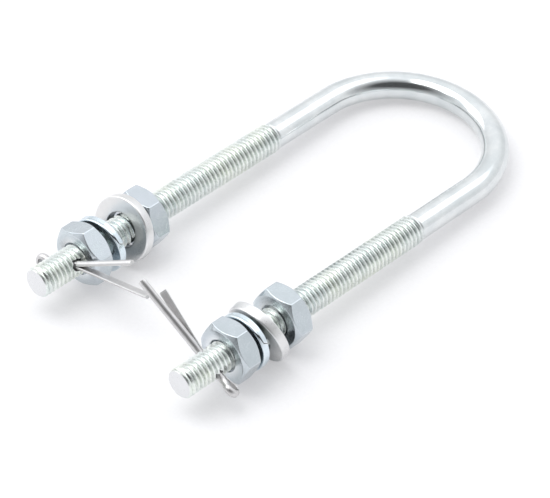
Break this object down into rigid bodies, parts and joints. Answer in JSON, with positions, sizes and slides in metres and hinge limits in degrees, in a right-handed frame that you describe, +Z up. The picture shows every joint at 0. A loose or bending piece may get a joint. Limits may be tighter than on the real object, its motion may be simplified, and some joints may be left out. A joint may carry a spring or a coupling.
{
  "type": "pipe u-bolt",
  "caption": "Round rod bent to a U with two threaded legs, each carrying hex nuts, a flat washer, a spring lock washer and a split pin, for clamping a pipe.",
  "frame": {"origin": "centre of the underside: on the surface the U-bolt lies on, under the middle of its outline", "axes": "+Y from the free ends of the legs towards the bend, +Z up from the surface it lies on, +X across the legs towards the right leg; the legs run down 2.93 degrees towards the bend"},
  "size_m": [0.0822, 0.157, 0.0287],
  "materials": {
    "plated_rod": "bright zinc plate, thread rolled, faint green-yellow cast near the free ends",
    "plated_nut": "clear blue zinc plate, smooth, with bright bevel lines",
    "plated_washer": "satin zinc plate on a punched disc",
    "plated_spring_steel": "bright blue-white zinc plate",
    "pin_steel": "drawn half-round wire, dull grey with fine draw lines"
  },
  "bodies": {
    "u_rod": {"u_rod": "plated_rod"},
    "left_split_pin": {"left_split_pin": "pin_steel"},
    "left_outer_nut": {"left_outer_nut": "plated_nut"},
    "left_lock_washer": {"left_lock_washer": "plated_spring_steel"},
    "left_flat_washer": {"left_flat_washer": "plated_washer"},
    "left_inner_nut": {"left_inner_nut": "plated_nut"},
    "right_split_pin": {"right_split_pin": "pin_steel"},
    "right_outer_nut": {"right_outer_nut": "plated_nut"},
    "right_lock_washer": {"right_lock_washer": "plated_spring_steel"},
    "right_flat_washer": {"right_flat_washer": "plated_washer"},
    "right_inner_nut": {"right_inner_nut": "plated_nut"}
  },
  "joints": [
    {"name": "left_lock_washer_slide", "type": "slide", "parent": "u_rod", "child": "left_lock_washer", "axis": [0, 0.9987, -0.0512], "range_m": [-0.0004, 0.00318]},
    {"name": "left_outer_nut_turn", "type": "hinge", "parent": "left_lock_washer", "child": "left_outer_nut", "pos_m": [-0.0297, -0.05894, 0.01116], "axis": [0, 0.9987, -0.0512], "range_deg": [-90, 720]},
    {"name": "left_flat_washer_slide", "type": "slide", "parent": "u_rod", "child": "left_flat_washer", "axis": [0, 0.9987, -0.0512], "range_m": [0, 0.04921]},
    {"name": "left_inner_nut_turn", "type": "hinge", "parent": "left_flat_washer", "child": "left_inner_nut", "pos_m": [-0.0297, -0.03587, 0.00998], "axis": [0, 0.9987, -0.0512], "range_deg": [0, 11160]},
    {"name": "left_split_pin_turn", "type": "hinge", "parent": "u_rod", "child": "left_split_pin", "pos_m": [-0.0297, -0.06603, 0.01153], "axis": [0.907, 0.1678, 0.3863], "range_deg": [-60, 30]},
    {"name": "right_lock_washer_slide", "type": "slide", "parent": "u_rod", "child": "right_lock_washer", "axis": [0, 0.9987, -0.0512], "range_m": [-0.00199, 0]},
    {"name": "right_outer_nut_turn", "type": "hinge", "parent": "right_lock_washer", "child": "right_outer_nut", "pos_m": [0.02975, -0.05769, 0.0111], "axis": [0, 0.9987, -0.0512], "range_deg": [-450, 0]},
    {"name": "right_flat_washer_slide", "type": "slide", "parent": "u_rod", "child": "right_flat_washer", "axis": [0, 0.9987, -0.0512], "range_m": [0, 0.04921]},
    {"name": "right_inner_nut_turn", "type": "hinge", "parent": "right_flat_washer", "child": "right_inner_nut", "pos_m": [0.02975, -0.03637, 0.01001], "axis": [0, 0.9987, -0.0512], "range_deg": [0, 11160]},
    {"name": "right_split_pin_turn", "type": "hinge", "parent": "u_rod", "child": "right_split_pin", "pos_m": [0.02975, -0.06603, 0.01153], "axis": [-0.91, 0.0212, 0.4141], "range_deg": [-90, 90]}
  ],
  "couplings": [
    {"joint": "left_lock_washer_slide", "follows": "left_outer_nut_turn", "m_per_rad": 0.00025266},
    {"joint": "left_flat_washer_slide", "follows": "left_inner_nut_turn", "m_per_rad": 0.00025266},
    {"joint": "right_lock_washer_slide", "follows": "right_outer_nut_turn", "m_per_rad": 0.00025266},
    {"joint": "right_flat_washer_slide", "follows": "right_inner_nut_turn", "m_per_rad": 0.00025266}
  ]
}
